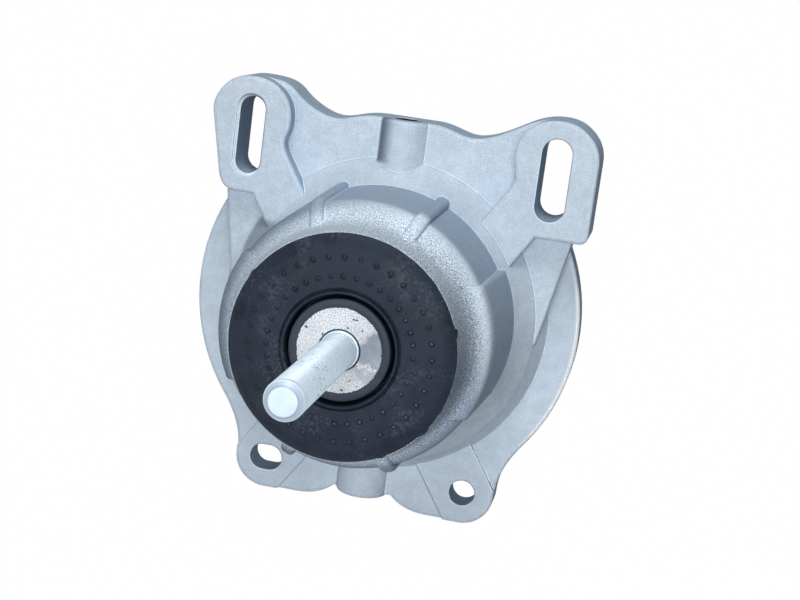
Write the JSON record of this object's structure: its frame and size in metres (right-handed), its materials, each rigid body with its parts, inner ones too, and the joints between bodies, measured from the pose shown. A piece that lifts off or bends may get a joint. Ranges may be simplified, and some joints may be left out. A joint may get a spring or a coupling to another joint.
{
  "type": "engine mount",
  "caption": "Cast engine mount with slotted lugs, a bonded rubber spring in a domed housing and a threaded stud.",
  "frame": {"origin": "on the stud's axis at the housing's back face", "axes": "+Z along the stud out of the rubber, +Y towards the slotted lugs, +X towards the wide lug"},
  "size_m": [0.1362, 0.1467, 0.1476],
  "materials": {
    "cast_alloy": "shot blasted",
    "core_alloy": "rough cast",
    "rubber": "moulded",
    "plated_steel": "plated",
    "pressed_steel": "pressed",
    "plastic": "moulded"
  },
  "bodies": {
    "root": {"housing": "cast_alloy", "rubber_spring": "rubber", "core": "core_alloy", "stud": "plated_steel", "upper_channel_plate": "plastic", "lower_channel_plate": "plastic", "decoupler": "rubber", "seal_ring": "rubber", "diaphragm": "rubber", "bottom_cover": "pressed_steel", "retaining_ring": "pressed_steel", "filling_plug": "plated_steel"}
  },
  "joints": []
}
